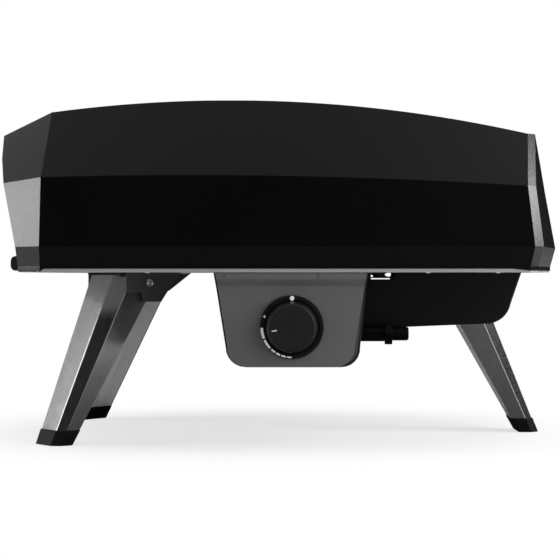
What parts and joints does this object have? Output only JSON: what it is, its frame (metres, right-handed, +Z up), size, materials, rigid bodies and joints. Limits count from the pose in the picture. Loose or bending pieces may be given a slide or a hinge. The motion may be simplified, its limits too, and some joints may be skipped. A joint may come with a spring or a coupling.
{
  "type": "portable pizza oven",
  "caption": "Portable gas pizza oven: faceted hood with a front mouth, a baking stone, a side burner with a control knob, and folding legs.",
  "frame": {"origin": "centre of the footprint box at floor level", "axes": "+X from the mouth to the rear, +Y away from the control box, +Z up"},
  "size_m": [0.5837, 0.47, 0.3611],
  "materials": {
    "powder_coat_black": "satin black powder coat",
    "brushed_steel": "brushed",
    "ceramic_fibre": "matte white fibre",
    "heat_stained_steel": "heat-stained",
    "galvanised_sheet": "galvanised",
    "insulation_board": "matte mineral board",
    "floor_steel": "heat-stained",
    "lip_black": "satin black",
    "rail_steel": "plain",
    "cordierite": "matte stone",
    "box_black": "matte black",
    "burner_steel": "plain",
    "mixer_cast": "cast",
    "brass": "machined",
    "gas_pipe_aluminium": "drawn",
    "bracket_steel": "plain",
    "spark_ceramic": "glazed ceramic",
    "probe_steel": "plain",
    "lead_silicone": "silicone",
    "panel_grey": "textured grey powder coat",
    "box_side_black": "matte black",
    "screw_steel": "bright",
    "valve_brass": "machined",
    "stem_steel": "plain",
    "sleeve_plastic": "matte",
    "bezel_black": "matte black",
    "knob_black": "satin black",
    "igniter_case": "matte",
    "inlet_black": "blackened",
    "leg_zinc": "spangled zinc coating",
    "foot_rubber": "matte black",
    "hinge_black": "satin black",
    "pin_steel": "bright"
  },
  "bodies": {
    "oven": {"outer_shell": "powder_coat_black", "mouth_sleeve": "brushed_steel", "insulation_blanket": "ceramic_fibre", "chamber_liner": "heat_stained_steel", "base_tray": "galvanised_sheet", "floor_board": "insulation_board", "chamber_floor": "floor_steel", "front_lip": "lip_black", "stone_rail_near": "rail_steel", "stone_rail_far": "rail_steel", "burner_box": "box_black", "burner_tube": "burner_steel", "venturi_tube": "mixer_cast", "gas_injector": "brass", "gas_pipe": "gas_pipe_aluminium", "burner_saddle_left": "bracket_steel", "burner_saddle_right": "bracket_steel", "flame_guard": "bracket_steel", "spark_electrode": "spark_ceramic", "flame_probe": "probe_steel", "ignition_lead": "lead_silicone", "probe_lead": "lead_silicone", "control_panel": "panel_grey", "control_box": "box_side_black", "panel_screw_left": "screw_steel", "panel_screw_right": "screw_steel", "valve_body": "valve_brass", "knob_spring": "stem_steel", "knob_bezel": "bezel_black", "spark_igniter": "igniter_case", "inlet_body": "inlet_black", "inlet_collar": "inlet_black", "inlet_nipple": "inlet_black", "front_near_bracket": "hinge_black", "front_near_pin": "pin_steel", "front_near_stop_pad_left": "foot_rubber", "front_near_stop_pad_right": "foot_rubber", "front_far_bracket": "hinge_black", "front_far_pin": "pin_steel", "front_far_stop_pad_left": "foot_rubber", "front_far_stop_pad_right": "foot_rubber", "rear_bracket": "hinge_black", "rear_pin": "pin_steel", "rear_stop_pad_left": "foot_rubber", "rear_stop_pad_right": "foot_rubber"},
    "front_near_leg_body": {"front_near_leg": "leg_zinc", "front_near_foot": "foot_rubber"},
    "front_far_leg_body": {"front_far_leg": "leg_zinc", "front_far_foot": "foot_rubber"},
    "rear_leg_body": {"rear_leg": "leg_zinc", "rear_foot": "foot_rubber"},
    "stone_body": {"baking_stone": "cordierite"},
    "push_body": {"thrust_sleeve": "sleeve_plastic"},
    "knob_body": {"control_knob": "knob_black", "valve_stem": "stem_steel"}
  },
  "joints": [
    {"name": "front_near_leg_fold", "type": "hinge", "parent": "oven", "child": "front_near_leg_body", "pos_m": [-0.16162, -0.10401, 0.166], "axis": [0.6074, -0.7944, 0], "range_deg": [0, 103]},
    {"name": "front_far_leg_fold", "type": "hinge", "parent": "oven", "child": "front_far_leg_body", "pos_m": [-0.16162, 0.10401, 0.166], "axis": [-0.6074, -0.7944, 0], "range_deg": [0, 92]},
    {"name": "rear_leg_fold", "type": "hinge", "parent": "oven", "child": "rear_leg_body", "pos_m": [0.1808, 0, 0.166], "axis": [0, 1, 0], "range_deg": [0, 112]},
    {"name": "stone_slide", "type": "slide", "parent": "oven", "child": "stone_body", "axis": [-1, 0, 0], "range_m": [0, 0.15]},
    {"name": "knob_push", "type": "slide", "parent": "oven", "child": "push_body", "axis": [0, 1, 0], "range_m": [0, 0.0035], "stiffness_N_per_m": 800, "springref_m": -0.004, "deforming": ["knob_spring"]},
    {"name": "knob_turn", "type": "hinge", "parent": "push_body", "child": "knob_body", "pos_m": [0.01015, -0.2346, 0.1222], "axis": [0, -1, 0], "range_deg": [-100, 80]}
  ]
}
